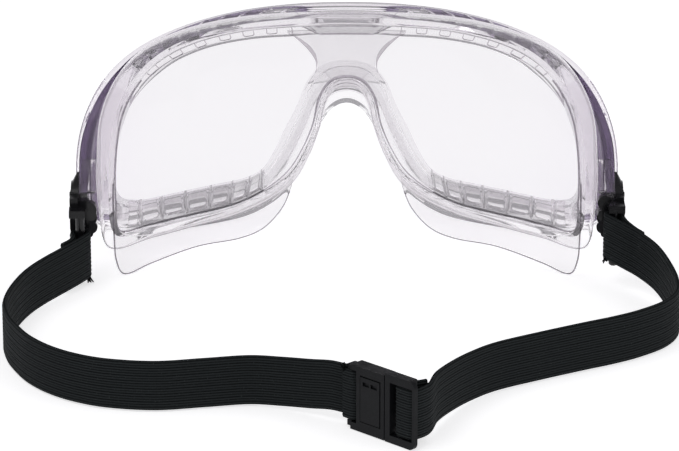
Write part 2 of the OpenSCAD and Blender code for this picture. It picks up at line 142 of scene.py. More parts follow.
def outward(inner, outer, t, off):
    """Point off outside the inner outline, towards the outer one."""
    i, o = at(inner, t), at(outer, t)
    return i + off * (o - i).normalized()


def lip(t):
    """How far the wall steps outwards behind the lens rim, at the brow."""
    u = from_top(t)
    return LIP * ramp(u, 0.5, 1.1) * (1 - ramp(u, 4.2, 5.4))


def rim(t, f):
    """Across the lens rim, from its outer outline (f 0) to its inner one (f 1)."""
    return at(RIM_OUT, t).lerp(at(RIM_IN, t), f)


def wall(t, f, off):
    """Wall between the lens rim (f 0) and the seal (f 1); off is measured outwards."""
    front = on_lens(outward(RIM_IN, RIM_OUT, t, off + lip(t)), 4.2)
    return front.lerp(on_face(outward(FACE_IN, SEAL_OUT, t, off), -3), f)


# ---------------------------------------------------------------- meshes
def new_object(name, verts, faces, mat, body, uv=None, sharp=35):
    """Smooth-shaded piece; edges of more than sharp degrees stay sharp. It rides on body, if one is given."""
    me = bpy.data.meshes.new(name)
    me.from_pydata([tuple(v) for v in verts], [], faces)
    if uv:
        layer = me.uv_layers.new(name="UVMap")
        for loop in me.loops:
            layer.data[loop.index].uv = uv[loop.vertex_index]
    bm = bmesh.new()
    bm.from_mesh(me)
    bmesh.ops.recalc_face_normals(bm, faces=bm.faces)
    for f in bm.faces:
        f.smooth = True
    for e in bm.edges:
        if len(e.link_faces) == 2 and e.calc_face_angle(0) > math.radians(sharp):
            e.smooth = False
    bm.to_mesh(me)
    bm.free()
    me.materials.append(mat)
    o = bpy.data.objects.new(name, me)
    bpy.context.scene.collection.objects.link(o)
    if body:
        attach(o, body)
    return o


def ring(rows):
    """Closed both ways: rows of points, each row a closed line."""
    m, n = len(rows), len(rows[0])
    faces = [(j * n + i, j * n + (i + 1) % n, (j + 1) % m * n + (i + 1) % n, (j + 1) % m * n + i)
             for j in range(m) for i in range(n)]
    return [p for r in rows for p in r], faces


def slab(a, b):
    """Two skins, grids of points [line][point], closed round their edges."""
    m, n = len(a), len(a[0])
    o = m * n
    faces = []
    for i in range(m - 1):
        for j in range(n - 1):
            k = i * n + j
            faces += [(k, k + 1, k + n + 1, k + n), (o + k, o + k + n, o + k + n + 1, o + k + 1)]
    for i in range(m - 1):
        k, e = i * n, i * n + n - 1
        faces += [(k, k + n, o + k + n, o + k), (e, o + e, o + e + n, e + n)]
    for j in range(n - 1):
        e = (m - 1) * n + j
        faces += [(j, o + j, o + j + 1, j + 1), (e, e + 1, o + e + 1, o + e)]
    return [p for r in a for p in r] + [p for r in b for p in r], faces


# ---------------------------------------------------------------- materials
def put(n, values):
    """Sets values on a node's own sockets."""
    for k, v in values.items():
        n.inputs[k].default_value = v


def node(nt, kind, values=None, **props):
    n = nt.nodes.new(kind)
    for k, v in props.items():
        setattr(n, k, v)
    put(n, values or {})
    return n


def material(name):
    m = bpy.data.materials.new(name)
    m.use_nodes = True
    return m, m.node_tree, m.node_tree.nodes["Principled BSDF"]


def noise(nt, where, scale, detail):
    n = node(nt, "ShaderNodeTexNoise", {"Scale": scale, "Detail": detail})
    nt.links.new(where, n.inputs["Vector"])
    return n.outputs["Fac"]


def patchy_roughness(nt, fac, bsdf, rough):
    """Roughness that wanders between two values."""
    n = node(nt, "ShaderNodeMapRange", {"From Min": 0.35, "From Max": 0.7, "To Min": rough[0], "To Max": rough[1]})
    nt.links.new(fac, n.inputs["Value"])
    nt.links.new(n.outputs["Result"], bsdf.inputs["Roughness"])


def bumps(nt, height, strength, distance):
    n = node(nt, "ShaderNodeBump", {"Strength": strength, "Distance": distance})
    nt.links.new(height, n.inputs["Height"])
    return n.outputs["Normal"]


def colours(nt, fac, first, last, *between):
    """Colour ramp; each stop is (position, colour)."""
    n = node(nt, "ShaderNodeValToRGB")
    stops = n.color_ramp.elements
    for stop, (place, colour) in zip(stops, (first, last)):
        stop.position, stop.color = place, (*colour, 1)
    for place, colour in between:
        stops.new(place).color = (*colour, 1)
    nt.links.new(fac, n.inputs["Fac"])
    return n.outputs["Color"]


def mixed(nt, a, b):
    """Mix Shader of two shaders, with its factor still to be set."""
    n = node(nt, "ShaderNodeMixShader")
    nt.links.new(a.outputs[0], n.inputs[1])
    nt.links.new(b.outputs[0], n.inputs[2])
    return n


def clear_plastic(name, face, middle, edge, milk, rough, bump, scale, ior):
    """Clear moulding: light barely bends, walls seen at a slant look deeper, and part of the light scatters."""
    m, nt, bsdf = material(name)
    link = nt.links.new
    put(bsdf, {"Transmission Weight": 1, "IOR": ior, "Coat Weight": 0.15, "Coat Roughness": 0.05})
    cloud = noise(nt, node(nt, "ShaderNodeTexCoord").outputs["Object"], scale, 3)
    patchy_roughness(nt, cloud, bsdf, rough)
    normal = bumps(nt, cloud, bump, 0.0004)
    link(normal, bsdf.inputs["Normal"])
    link(normal, bsdf.inputs["Coat Normal"])
    slant = node(nt, "ShaderNodeLayerWeight", {"Blend": 0.5}).outputs["Facing"]
    link(colours(nt, slant, (0.2, face), (0.97, edge), (0.74, middle)), bsdf.inputs["Base Color"])
    cloudy = mixed(nt, node(nt, "ShaderNodeBsdfTranslucent", {"Color": (0.86, 0.84, 0.87, 1)}),
                   node(nt, "ShaderNodeBsdfDiffuse", {"Color": (0.8, 0.78, 0.81, 1)}))
    put(cloudy, {"Fac": 0.5})
    milky = mixed(nt, bsdf, cloudy)
    put(milky, {"Fac": milk})
    shaded = mixed(nt, milky, node(nt, "ShaderNodeBsdfTransparent", {"Color": (0.93, 0.92, 0.94, 1)}))
    link(node(nt, "ShaderNodeLightPath").outputs["Is Shadow Ray"], shaded.inputs["Fac"])
    link(shaded.outputs["Shader"], nt.nodes["Material Output"].inputs["Surface"])
    return m


MAT_LENS = clear_plastic("lens_clear", (0.85, 0.84, 0.852), (0.8, 0.77, 0.82), (0.04, 0.02, 0.1),
                         milk=0, rough=(0, 0.02), bump=0.004, scale=30, ior=1.06)
# Dark violet for the band round the lens's edge: painted shade.
MAT_LENS_EDGE_SHADE = clear_plastic("lens_edge", (0.45, 0.4, 0.5), (0.18, 0.14, 0.23), (0.02, 0.012, 0.04),
                              milk=0, rough=(0.02, 0.06), bump=0.02, scale=60, ior=1.1)
MAT_FRAME = clear_plastic("frame_clear", (0.955, 0.948, 0.954), (0.9, 0.885, 0.9), (0.02, 0.016, 0.03),
                          milk=0.025, rough=(0.02, 0.07), bump=0.05, scale=160, ior=1.14)
# Darker copy of frame_clear, for the temples and the brow's rim: painted shade.
MAT_SIDE_SHADED = clear_plastic("frame_clear_side_painted_shade", (0.88, 0.85, 0.885), (0.66, 0.62, 0.67), (0.01, 0.008, 0.02),
                         milk=0.02, rough=(0.02, 0.07), bump=0.05, scale=160, ior=1.12)
# Lighter copy of frame_clear, almost white even at a slant, for the nose: painted light.
MAT_NOSE_LIT = clear_plastic("frame_clear_nose_painted_light", (0.9, 0.892, 0.9), (0.985, 0.98, 0.985), (0.8, 0.79, 0.8),
                         milk=0.03, rough=(0.02, 0.07), bump=0.05, scale=160, ior=1.04)
MAT_VENT = clear_plastic("rib_clear_thin", (0.995, 0.992, 0.995), (0.96, 0.955, 0.96), (0.3, 0.28, 0.32),
                         milk=0, rough=(0.02, 0.06), bump=0.02, scale=200, ior=1.03)
MAT_SEAL = clear_plastic("seal_clear", (0.965, 0.958, 0.964), (0.88, 0.865, 0.88), (0.02, 0.015, 0.025),
                         milk=0.03, rough=(0.02, 0.08), bump=0.06, scale=260, ior=1.14)
MAT_FLAP = clear_plastic("flap_clear", (0.89, 0.883, 0.89), (0.84, 0.83, 0.84), (0.03, 0.025, 0.03),
                         milk=0.03, rough=(0.02, 0.08), bump=0.05, scale=220, ior=1.15)
MAT_RIB = clear_plastic("rib_clear", (0.985, 0.98, 0.984), (0.92, 0.905, 0.92), (0.02, 0.015, 0.025),
                        milk=0.02, rough=(0.03, 0.1), bump=0.04, scale=200, ior=1.08)
MAT_PANEL = clear_plastic("panel_clear", (0.895, 0.885, 0.893), (0.85, 0.84, 0.85), (0.05, 0.045, 0.055),
                          milk=0.06, rough=(0.05, 0.14), bump=0.08, scale=180, ior=1.1)
EDGES = {"milk": 0, "rough": (0.05, 0.12), "bump": 0.02, "scale": 200, "ior": 1.06}
# Dark violet for the lines along the rim at the brow: painted shade.
MAT_BROW_SHADE = clear_plastic("rim_painted_shade", (0.3, 0.26, 0.36), (0.16, 0.13, 0.2), (0.05, 0.04, 0.07), **EDGES)
# Grey for the lines along the seal's and flaps' edges: painted shade.
MAT_CONTOUR_SHADE = clear_plastic("seal_lip_painted_shade", (0.5, 0.475, 0.51), (0.3, 0.28, 0.31), (0.05, 0.045, 0.06), **EDGES)
# Grey for the lines along moulded steps and corners: painted shade.
MAT_EDGE_SHADE = clear_plastic("moulded_edge_shade", (0.6, 0.57, 0.6), (0.45, 0.42, 0.46), (0.1, 0.09, 0.11), **EDGES)


def black_plastic(name, base, rough, grain, bump, gloss=0.1):
    """Moulded black plastic with a fine grain and a patchy gloss."""
    m, nt, bsdf = material(name)
    where = node(nt, "ShaderNodeTexCoord").outputs["Object"]
    fine = noise(nt, where, grain, 5)
    patchy_roughness(nt, noise(nt, where, 220, 2), bsdf, rough)
    tone = colours(nt, fine, (0.3, [c * 0.7 for c in base]), (0.75, [c * 1.5 for c in base]))
    nt.links.new(tone, bsdf.inputs["Base Color"])
    nt.links.new(bumps(nt, fine, bump, 0.0001), bsdf.inputs["Normal"])
    put(bsdf, {"Specular IOR Level": gloss})
    return m


MAT_CLIP = black_plastic("clip_black", (0.006, 0.006, 0.007), (0.16, 0.3), 2500, 0.2, 0.35)
MAT_PADDLE = black_plastic("paddle_black", (0.016, 0.016, 0.018), (0.3, 0.5), 2200, 0.3)
MAT_PIN = black_plastic("pin_black", (0.006, 0.006, 0.007), (0.1, 0.2), 1500, 0.1, 0.4)
MAT_BUCKLE = black_plastic("buckle_black", (0.0065, 0.007, 0.0082), (0.3, 0.48), 2600, 0.3)


def webbing_material():
    """Woven elastic, by its length (U) and the way round it (V) in metres: cords, a fine weave, lint and flecks."""
    m, nt, bsdf = material("webbing_black")
    link = nt.links.new
    put(bsdf, {"Roughness": 0.8, "Specular IOR Level": 0.08})
    uv = node(nt, "ShaderNodeUVMap", uv_map="UVMap").outputs["UV"]
    weave = node(nt, "ShaderNodeTexWave", {"Scale": 620, "Distortion": 3, "Detail": 2, "Detail Scale": 2},
                 wave_type="BANDS", bands_direction="X")
    cords = node(nt, "ShaderNodeTexWave", {"Scale": 380, "Distortion": 0.6}, wave_type="BANDS", bands_direction="Y")
    link(uv, weave.inputs["Vector"])
    link(uv, cords.inputs["Vector"])
    quiet = node(nt, "ShaderNodeMapRange", {"To Min": 0.72})
    link(weave.outputs["Fac"], quiet.inputs["Value"])
    woven = node(nt, "ShaderNodeMath", operation="MULTIPLY")
    link(quiet.outputs["Result"], woven.inputs[0])
    link(cords.outputs["Fac"], woven.inputs[1])
    linty = node(nt, "ShaderNodeMath", {1: 0.5}, operation="MULTIPLY_ADD")
    link(noise(nt, uv, 1500, 4), linty.inputs[0])
    link(woven.outputs["Value"], linty.inputs[2])
    cloth = colours(nt, linty.outputs["Value"], (0.25, (0.0022, 0.0027, 0.003)), (1.0, (0.02, 0.0235, 0.0245)))
    specks = node(nt, "ShaderNodeMapRange", {"From Min": 0.66, "From Max": 0.74})
    link(noise(nt, uv, 2600, 2), specks.inputs["Value"])
    flecked = node(nt, "ShaderNodeMix", {"B": (0.055, 0.066, 0.064, 1)}, data_type="RGBA")
    link(specks.outputs["Result"], flecked.inputs["Factor"])
    link(cloth, flecked.inputs["A"])
    link(flecked.outputs["Result"], bsdf.inputs["Base Color"])
    link(bumps(nt, linty.outputs["Value"], 0.7, 0.00015), bsdf.inputs["Normal"])
    return m


MAT_WEB = webbing_material()

# ---------------------------------------------------------------- lens
LENS_IN_RIM = 0.27  # where the lens's edge runs across the rim
COLUMNS = 90  # of the lens mesh, on each side of the middle
LAST = 0.988  # the last column stands just short of the temple, where the top and bottom edges meet
TOP_RUN, BOTTOM_RUN = 6.94, 12  # control points that the columns' ends pass along the two edges


def lens_line(i, d):
    """Column i of the lens from top to bottom, d behind its outer face."""
    f = abs(i) / COLUMNS * LAST
    s = -1 if i < 0 else 1
    a = rim(s * TOP_RUN * f / LAST, LENS_IN_RIM)
    b = rim(s * (TURN / 2 - BOTTOM_RUN * f), LENS_IN_RIM)
    return [on_lens(a.lerp(b, g), d) for g in spread(0, 1, 24)]


back, front = [[lens_line(i, d) for i in range(-COLUMNS, COLUMNS + 1)] for d in (LENS_T, 0)]
lens = new_object("lens_shell", *slab(back, front), MAT_LENS, "goggles")
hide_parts("lens")


def edge_line(t, deep):
    """Section of the painted shade along the thick lens edge: a dark violet U round it that reaches further in at
    the temples.
    """
    u = from_top(t)
    temple = ramp(u, 4.4, 6.4) * (1 - 0.8 * ramp(u, 7.4, 8.6))
    low = 0.2 * (1 - ramp(u, 0.2, 1.7)) - 0.185 * temple
    out = 0.2 + low + (0.03 if deep else 0)
    reach = 0.31 + 0.2 * temple + low * (1 - temple)
    a, b = (-0.01, LENS_T + 0.01) if deep else (-0.04, LENS_T + 0.04)
    section = ((reach, a), (out + 0.06, a), (out + 0.02, a), (out, 0.5), (out, 1.5), (out + 0.02, b),
               (out + 0.06, b), (reach, b))
    return [on_lens(rim(t, f), d) for f, d in section]


EDGE_T = spread(-8.6, 8.6, 136)
outer, inner = [[edge_line(t, deep) for t in EDGE_T] for deep in (False, True)]
edge = new_object("lens_edge_band", *slab(outer, inner), MAT_LENS_EDGE_SHADE, "goggles")

# ---------------------------------------------------------------- frame body, seal and flaps
# Sections, as (share of the way across, depth): round the front of the rim and the lens groove, over the bead, and
# round the back of the rim.
RIM_FRONT = ((0, -0.6), (0.02, -1.05), (0.06, -1.3), (0.38, -1.3), (0.44, -1.15), (0.48, -0.7), (0.48, -FIT),
             (0.22, -FIT), (0.22, LENS_T + FIT), (0.97, LENS_T + FIT), (1, LENS_T + 0.4), (1, 3.6))
BEAD = ((0, 5.4), (0.1, 5.6), (0.3, 5.6), (0.4, 5.4), (0.45, 4.2))
RIM_BACK = ((0.08, 6), (0.02, 5.8), (0, 5.2))
SEAL_BACK = -2.95
SEAL_ROLL = ((0, SEAL_BACK), (0, -1.6), (0.02, -0.8), (0.08, -0.2), (0.18, 0.2), (0.32, 0.4), (0.5, 0.3),
             (0.68, 0.4), (0.84, 0.2), (0.94, -0.2), (1, -0.8), (1, -1.4), (0.93, -1.9), (0.75, -2.2))


def bead(t, e, d):
    """Bead along the top of each eye opening; it dies away with the lip."""
    q = lip(t) / LIP
    return on_lens(outward(RIM_IN, RIM_OUT, t, 0.1 + (e - 0.1) * q), 3.9 + (d - 3.9) * q)


def frame_section(t):
    """Rim, bead, inner face of the wall, its outer face, and the back of the rim."""
    line = [on_lens(rim(t, f), d) for f, d in RIM_FRONT]
    line += [bead(t, e, d) for e, d in BEAD]
    line += [wall(t, f, 0) for f in (0.02, 0.2, 0.4, 0.6, 0.8, 1)]
    line += [wall(t, f, WALL_T) for f in (1, 0.8, 0.6, 0.4, 0.2)]
    line += [wall(t, 0.1, WALL_T + 0.1), wall(t, 0.06, WALL_T + 0.6)]
    line.append(on_lens(rim(t, 0.3 - 0.025 * lip(t)), 5))
    return line + [on_lens(rim(t, f), d) for f, d in RIM_BACK]


# Painted shade and painted light on one clear moulding: the temples, and at the brow only the rim's outside, get a
# darker copy of the clear material as painted shade, and the nose a lighter copy as painted light.
SIDE_FROM, SIDE_TO, BROW_TO, NOSE_FROM = 4.9, 8.1, 5, 12.9
RIM_ROWS_TO, RIM_ROWS_FROM = 1, 29
body = new_object("frame_shell", *ring(list(zip(*[frame_section(t) for t in STATIONS]))), MAT_FRAME, "goggles",
                  sharp=28)
body.data.materials.append(MAT_SIDE_SHADED)
body.data.materials.append(MAT_NOSE_LIT)
for k, face in enumerate(body.data.polygons):
    u = from_top(STATIONS[k % len(STATIONS)])
    on_rim = not RIM_ROWS_TO < k // len(STATIONS) < RIM_ROWS_FROM
    if SIDE_FROM < u < SIDE_TO or on_rim and u < BROW_TO:
        face.material_index = 1
    elif u > NOSE_FROM:
        face.material_index = 2
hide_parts("frame_body")

seal_rows = [[on_face(at(FACE_IN, t).lerp(at(SEAL_OUT, t), f), d) for t in STATIONS] for f, d in SEAL_ROLL]
seal_rows.append([on_face(outward(FACE_IN, SEAL_OUT, t, WALL_T), SEAL_BACK) for t in STATIONS])
seal = new_object("seal_shell", *ring(seal_rows), MAT_SEAL, "goggles", sharp=50)
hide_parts("face_seal")

# The left flap, as (x, z): where it leaves the seal, and its free edge.
FLAP_ROOT = [Vector(p) for p in [(74.2, 33), (74.3, 27), (74, 20), (72.6, 14), (67, 11.8), (59, 12), (48, 13.6),
                                 (37, 15.6), (28, 19), (21, 23), (17.5, 26.5)]]
FLAP_EDGE = [Vector(p) for p in [(74.7, 33), (74.9, 25), (74.8, 14), (74.2, 5), (71.4, 0.1), (63, 2.3), (48.7, 5.6),
                                 (35.5, 6.7), (27.3, 9.6), (21.2, 16), (18, 23.2)]]


def flap(side, name, cad):
    """Flap under the seal, thinner at its free edge; side is 1 for the left one and -1 for the right."""
    def grid(thick):
        lines = []
        for t in spread(0, 10, 160):
            a, b = open_at(FLAP_ROOT, t), open_at(FLAP_EDGE, t)
            line = []
            for f in spread(0, 1, 14):
                q = on_face(a.lerp(b, f), -1.3 + 1.3 * f + thick * (1 - 0.35 * f))
                line.append(Vector((q.x * side, q.y, q.z)))
            lines.append(line)
        return lines
    o = new_object(name, *slab(grid(0), grid(1.2)), MAT_FLAP, "goggles", sharp=50)
    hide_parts(cad)


flap(1, "flap_sheet_left", "cheek_flap_left")
flap(-1, "flap_sheet_right", "cheek_flap_right")

# ---------------------------------------------------------------- raised pads and ribs
PAD_POINTS = 28  # round a pad
PAD_LEVELS = ((1, -0.15), (1, 0.55), (0.93, 0.88), (0.8, 1))  # (size, share of the height), from the root up


def raised(verts, faces, place, cu, cv, ru, rv, h, side, soft=0.3):
    """Adds a rounded pad: place(u, v, h) gives a point at height h over a surface."""
    outline = []
    for k in range(PAD_POINTS):
        a = 2 * math.pi * k / PAD_POINTS
        c, q = math.cos(a), math.sin(a)
        outline.append((math.copysign(abs(c) ** soft, c), math.copysign(abs(q) ** soft, q)))
    first = len(verts)
    for scale, level in PAD_LEVELS:
        for a, b in outline:
            p = place(cu + a * ru * scale, cv + b * rv * (1 - (1 - scale) * 0.8), h * level)
            verts.append((p.x * side, p.y, p.z))
    steps = len(PAD_LEVELS) - 1
    for j in range(steps):
        for k in range(PAD_POINTS):
            q = first + j * PAD_POINTS + k
            r = first + j * PAD_POINTS + (k + 1) % PAD_POINTS
            faces.append((q, r, r + PAD_POINTS, q + PAD_POINTS))
    faces.append(tuple(first + steps * PAD_POINTS + k for k in range(PAD_POINTS)))


def lip_point(t, e, h):
    """On the brow lip, e outside the eye opening."""
    return on_lens(outward(RIM_IN, RIM_OUT, t, e), 4 + h)


def floor_point(t, f, h):
    """On the wall's inner face under the eyes; the ribs lean towards the nose."""
    return wall(t + f * 0.2 * (12.85 - t), f, -h)


def vent_point(t, f, q):
    """On the wall's outer face over the brow; q 1 is the top of a rib, which is lower at the seal."""
    top = 5.7 - 4.7 * (f - 0.1)
    return wall(t + 0.7 * (f - 0.1), f, WALL_T + q * (top - WALL_T))


BROW_PADS = ((1.5, 0.11), (2, 0.11), (2.48, 0.11), (3, 0.11), (3.58, 0.14), (4.25, 0.14))  # (place, half width)
VENT_RIBS, FLOOR_RIBS = 9, 7
for side, end in ((1, "left"), (-1, "right")):
    vs, fs = [], []
    for t, w in BROW_PADS:
        top = max(1.6, lip(t) - 0.35)
        raised(vs, fs, lip_point, t, (top + 0.9) / 2, w, (top - 0.9) / 2, 1.1, side)
    raised(vs, fs, lip_point, 1.1, 2.1, 0.02, 1.9, 0.9, side)
    o = new_object("brow_pads_" + end, vs, fs, MAT_RIB, "goggles", sharp=60)
    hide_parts("brow_ladder_" + end)
    vs, fs = [], []
    for k in range(VENT_RIBS):
        raised(vs, fs, vent_point, 1.03 + k * 3.2 / (VENT_RIBS - 1), 0.25, 0.045, 0.15, 1, side)
    o = new_object("vent_ribs_" + end, vs, fs, MAT_VENT, "goggles", sharp=60)
    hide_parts("top_vent_" + end)
    vs, fs = [], []
    for k in range(FLOOR_RIBS):
        t = 8.85 + k * 4 / (FLOOR_RIBS - 1)
        raised(vs, fs, floor_point, t, 0.48, 0.035, 0.46, 1.35, side, 0.2)
        if k < FLOOR_RIBS - 1:
            raised(vs, fs, floor_point, t + 2 / (FLOOR_RIBS - 1), 0.46, 0.24, 0.4, 0.75, side, 0.25)
    raised(vs, fs, floor_point, 8.6, 0.46, 0.17, 0.4, 0.75, side, 0.25)
    o = new_object("floor_pads_" + end, vs, fs, MAT_RIB, "goggles", sharp=60)
    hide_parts("floor_ladder_" + end)

# ---------------------------------------------------------------- fine moulded edges, and dark lines of painted shade along them
ROUND = 8  # points round a thread


def threads(name, lines, mat, body="goggles"):
    """Thin round ridges: each line is a list of (point, radius)."""
    verts, faces = [], []
    for line in lines:
        first, last = len(verts), len(line) - 1
        for i, (p, r) in enumerate(line):
            d = (line[min(i + 1, last)][0] - line[max(i - 1, 0)][0]).normalized()
            a = d.cross(Vector((0, 1, 0.3))).normalized()
            b = d.cross(a)
            for k in range(ROUND):
                w = 2 * math.pi * k / ROUND
                verts.append(p + (a * math.cos(w) + b * math.sin(w)) * r * MM)
        for i in range(last):
            q = first + i * ROUND
            faces += [(q + k, q + (k + 1) % ROUND, q + ROUND + (k + 1) % ROUND, q + ROUND + k)
                      for k in range(ROUND)]
        faces += [tuple(e + k for k in range(ROUND)) for e in (first, first + last * ROUND)]
    return new_object(name, verts, faces, mat, body)


def smooth_line(points, place, radius, n=6):
    """Line for threads() through points; place puts a point on its surface, radius goes by the share of the way."""
    pts = [Vector(p) for p in points]
    last = len(pts) - 1
    return [(place(*open_at(pts, t)), radius(t / last)) for t in spread(0, last, last * n)]


def both_sides(lines):
    return lines + [[(Vector((-p.x, p.y, p.z)), r) for p, r in line] for line in lines]


def on_pad(t, e):
    return lip_point(t, e, 1.0)


def on_wall(t, f):
    return wall(t, f, -0.05)


# Dark lines round each brow pad and up the lip at its end: the steps are moulded, their darkness is painted shade.
pad_edge_shading = []
for t, w in BROW_PADS:
    top = max(1.7, lip(t) - 0.4)
    u = [(t - w, top), (t - w, 2), (t - w, 1.5), (t - 0.8 * w, 1.2), (t - 0.4 * w, 1.1), (t + 0.4 * w, 1.1),
         (t + 0.8 * w, 1.2), (t + w, 1.5), (t + w, 2), (t + w, top)]
    pad_edge_shading.append(smooth_line(u, on_pad, lambda f: 0.13, 3))
pad_edge_shading.append(smooth_line([(1.06, 0.6), (1.07, 2.4), (1.1, 4.2)], on_pad, lambda f: 0.15))
o = threads("brow_pad_edge_shade", both_sides(pad_edge_shading), MAT_EDGE_SHADE)

# Dark lines along the seal's inner edge, thickest round the nose, and along each flap's free edge: painted shade.
seal_lip_shading = [(on_face(at(FACE_IN, t), -1.2), 0.4 - 0.2 * ramp(t, 8, 9.5) + 0.28 * ramp(t, 15, 17))
            for t in spread(4.7, 19, 240)]
flap_edge_shading = [(on_face(open_at(FLAP_EDGE, t), 0.6), 0.26 - 0.1 * ramp(t, 3, 6)) for t in spread(0.2, 9.8, 120)]
o = threads("seal_lip_shade_lines", both_sides([seal_lip_shading, flap_edge_shading]), MAT_CONTOUR_SHADE)

# Thick dark violet lines along the rim, from the top centre to each temple, thickest above the eyes: painted shade,
# drawn as threads.
brow_shade = smooth_line([(0.1, 0.36), (0.5, 0.3), (0.9, 0.16), (1.3, 0.1), (2, 0.08), (3, 0.08), (4, 0.1), (4.8, 0.14)],
                     lambda t, f: on_lens(rim(t, f), 1),
                     lambda f: 0.12 + 0.5 * ramp(f, 0, 0.4) * (1 - 0.7 * ramp(f, 0.45, 1)), 8)
o = threads("rim_shade_lines", both_sides([brow_shade]), MAT_BROW_SHADE)

# Dark lines at the bridge, a crescent at each top corner of the eye opening and lines along the wall: painted shade.
corner_shading = smooth_line([(20.5, 63), (16.8, 60.6), (13, 57.2), (10.7, 53.4), (10.5, 50), (11.6, 46.9), (14, 42.5)],
                     lambda x, z: on_lens((x, z), 3.6),
                     lambda f: 0.12 + 0.5 * math.sin(math.pi * min(1, f * 1.45)) ** 2)
brow_shade_line = smooth_line([(0.97, 0.95), (0.86, 0.6), (0.76, 0.22), (0.64, 0.05), (0.4, 0.02), (0, 0.02)],
                        on_wall, lambda f: 0.14)
tab_shade_line = smooth_line([(0, 0.84), (0.24, 0.84), (0.44, 0.84), (0.5, 0.88), (0.62, 0.97)],
                       on_wall, lambda f: 0.13 + 0.5 * math.sin(math.pi * ramp(f, 0.66, 1.05)))
o = threads("bridge_edge_shade", both_sides([corner_shading, brow_shade_line, tab_shade_line]), MAT_EDGE_SHADE)

# ---------------------------------------------------------------- bridge panel behind the lens
PANEL_SIDE = [Vector(p) for p in [(20.5, 63.4), (16.8, 61), (12.6, 57.6), (10.2, 53.6), (9.9, 50), (11.2, 46.8),
                                  (12.8, 44.4)]]


def panel_skin(d, edge):
    """Skin of the panel at depth d; edge brings its two sides forward."""
    rows = []
    for i in spread(0, 6, 60):
        p = open_at(PANEL_SIDE, i)
        rows.append([on_lens((p[0] * x, p[1]), d - edge * abs(x) ** 14) for x in spread(-1, 1, 48)])
    return rows


panel = new_object("bridge_skin", *slab(panel_skin(LENS_T + 0.1, 0), panel_skin(4.4, 0.7)), MAT_PANEL, "goggles",
                   sharp=60)
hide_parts("bridge_panel")


# ---------------------------------------------------------------- CAD pieces kept, with eased edges
def ease(name, mat, width, segments=2):
    """Gives a CAD node its material and a rounding of width mm along its edges."""
    o = NODE[name]
    o.data.materials.clear()
    o.data.materials.append(mat)
    b = o.modifiers.new("ease", "BEVEL")
    b.width = width * MM
    b.segments = segments
    b.limit_method = "ANGLE"
    b.angle_limit = math.radians(32)
    b.harden_normals = True


for side in ("left", "right"):
    ease("temple_lug_" + side, MAT_FRAME, 0.4)
    ease("strap_clip_" + side, MAT_CLIP, 0.35, 3)
    ease("clip_paddle_" + side, MAT_PADDLE, 0.3, 3)
    ease("pivot_pin_" + side, MAT_PIN, 0.4, 3)
ease("brow_tab", MAT_VENT, 0.2)
ease("buckle_socket", MAT_BUCKLE, 0.35, 3)
ease("buckle_panel", MAT_BUCKLE, 0.2, 2)
ease("buckle_tongue", MAT_BUCKLE, 0.3, 3)

# ---------------------------------------------------------------- webbing
# Centre lines in the drawing's millimetres, as (x, y, height of the lower edge), from the clip to the buckle.
YAW = math.radians(134.8)  # the way the buckle lies


def from_buckle(x, y, z):
    """Point given along and across the buckle."""
    c, s = math.cos(YAW), math.sin(YAW)
    return Vector((-12.1 + x * c - y * s, 163.5 + x * s + y * c, z))


LEFT = [Vector(p) for p in [
    (90.2, 35.4, 1.6), (88, 32, 1.8), (87.2, 28.6, 1.9), (87.75, 25.4, 1.95), (87.3, 23.1, 1.95),
    (85.2, 22.05, 1.95), (83.1, 23.1, 1.95), (82.7, 25.4, 1.95), (84.3, 29.3, 1.9), (87.6, 35.2, 1.6),
    (91.6, 41.6, 1.2), (95.2, 47.8, 0.9), (98.6, 54.8, 0.6), (101.4, 63.5, 0.4), (103.7, 76, 0.3),
    (104.2, 88, 0.3), (102.4, 99, 0.3), (99.4, 108, 0.3), (94.8, 118, 0.3), (88.2, 127, 0.3), (80, 134, 0.3),
    (70, 138.8, 0.3), (56, 140.9, 0.3), (42, 138.4, 0.3), (29, 136.2, 0.4), (19, 139, 0.9), (11, 143, 1.7)]]
LEFT += [from_buckle(x, y, 2.7) for x, y in [(-24, -0.4), (-19.5, 0.7), (-15.2, 1.6), (-13.2, 1.35), (-12.5, 0),
                                             (-13.2, -1.4), (-15, -1.7), (-17, -1.6)]]
RIGHT = [Vector(p) for p in [
    (-94, 32.4, 4.4), (-91.5, 30.3, 5.4), (-88.8, 27.8, 7), (-87.75, 25.4, 8), (-87.3, 23.1, 8.3),
    (-85.2, 22.05, 8.3), (-83.1, 23.1, 8.3), (-82.7, 25.4, 8.3), (-84.6, 28.2, 8), (-88.6, 31.5, 6.7),
    (-93, 35, 5.1), (-97.4, 42.2, 3.5), (-100.2, 53, 2.2), (-101.8, 66, 1.1), (-101.2, 77.5, 0.6),
    (-96.6, 87.2, 0.4), (-88.4, 95.8, 0.4), (-80, 101.9, 0.4), (-71, 107.2, 0.4), (-57.5, 115.6, 0.4),
    (-44, 125, 0.5), (-36, 134.5, 0.9), (-30, 145, 1.6), (-25.6, 155.4, 2.3)]]
RIGHT += [from_buckle(x, y, 2.7) for x, y in [(8.8, 7.5), (10.2, 3.8), (10.3, 0.4), (9.6, -1.25), (7.1, -1.45),
                                              (4.6, -1.25), (3.9, 0.4), (4.6, 3.6), (5.9, 6.4), (6.4, 8.2)]]
WEB_W, WEB_T, CORDS = 15.2, 1.6, 11
CORD_DEPTH = 0.16
TUCK = 0.35  # how much of each edge is rounded off


def web_profile():
    """Points round the webbing's section: [across its thickness, up its width]."""
    side = []
    n = CORDS * 6
    for i in range(n + 1):
        z = TUCK + (WEB_W - 2 * TUCK) * i / n
        side.append((WEB_T / 2 - CORD_DEPTH * (0.5 + 0.5 * math.cos(2 * math.pi * CORDS * i / n)), z))
    top = [(0.5, WEB_W - 0.12), (0.25, WEB_W), (-0.25, WEB_W), (-0.5, WEB_W - 0.12)]
    bottom = [(-0.5, 0.12), (-0.25, 0), (0.25, 0), (0.5, 0.12)]
    return side + top + [(-o, z) for o, z in reversed(side)] + bottom


